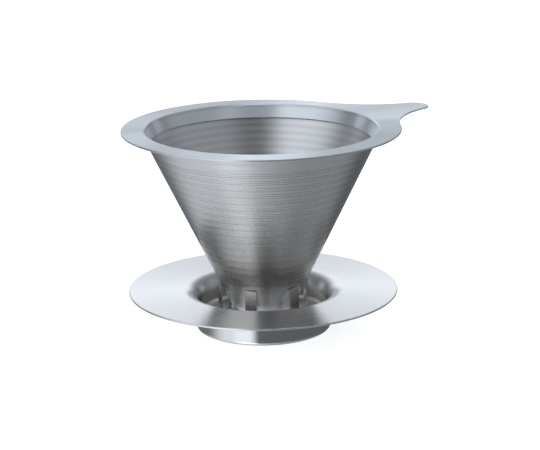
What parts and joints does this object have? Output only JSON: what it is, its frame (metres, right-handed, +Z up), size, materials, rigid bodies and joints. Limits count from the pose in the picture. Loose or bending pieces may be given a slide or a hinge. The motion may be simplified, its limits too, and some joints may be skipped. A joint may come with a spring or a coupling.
{
  "type": "pour over dripper",
  "caption": "Double-walled steel cone filter with a flat rim and thumb handle, lifting out of a saucer stand with a foot ring, for pour over coffee.",
  "frame": {"origin": "centre of the foot ring's underside, on the cone's axis", "axes": "+Z up along the cone's axis, +X along the handle"},
  "size_m": [0.141, 0.115, 0.085],
  "materials": {
    "rim_steel": "satin, fine circular brushing",
    "cone_steel": "satin, rows of fine slots, brushed round the cone",
    "mesh_steel": "fine woven mesh, satin",
    "cap_steel": "satin, turned",
    "saucer_steel": "soft polish with faint circular turning marks",
    "foot_steel": "soft polish",
    "support_steel": "satin"
  },
  "bodies": {
    "stand": {"saucer_plate": "saucer_steel", "foot_ring": "foot_steel", "support_ring": "support_steel", "support_legs": "support_steel"},
    "filter": {"rim_flange": "rim_steel", "outer_cone": "cone_steel", "inner_mesh": "mesh_steel", "tip_cup": "cap_steel", "tip_disc": "cap_steel"}
  },
  "joints": [
    {"name": "filter_lift", "type": "slide", "parent": "stand", "child": "filter", "axis": [0, 0, 1], "range_m": [0, 0.06]}
  ]
}
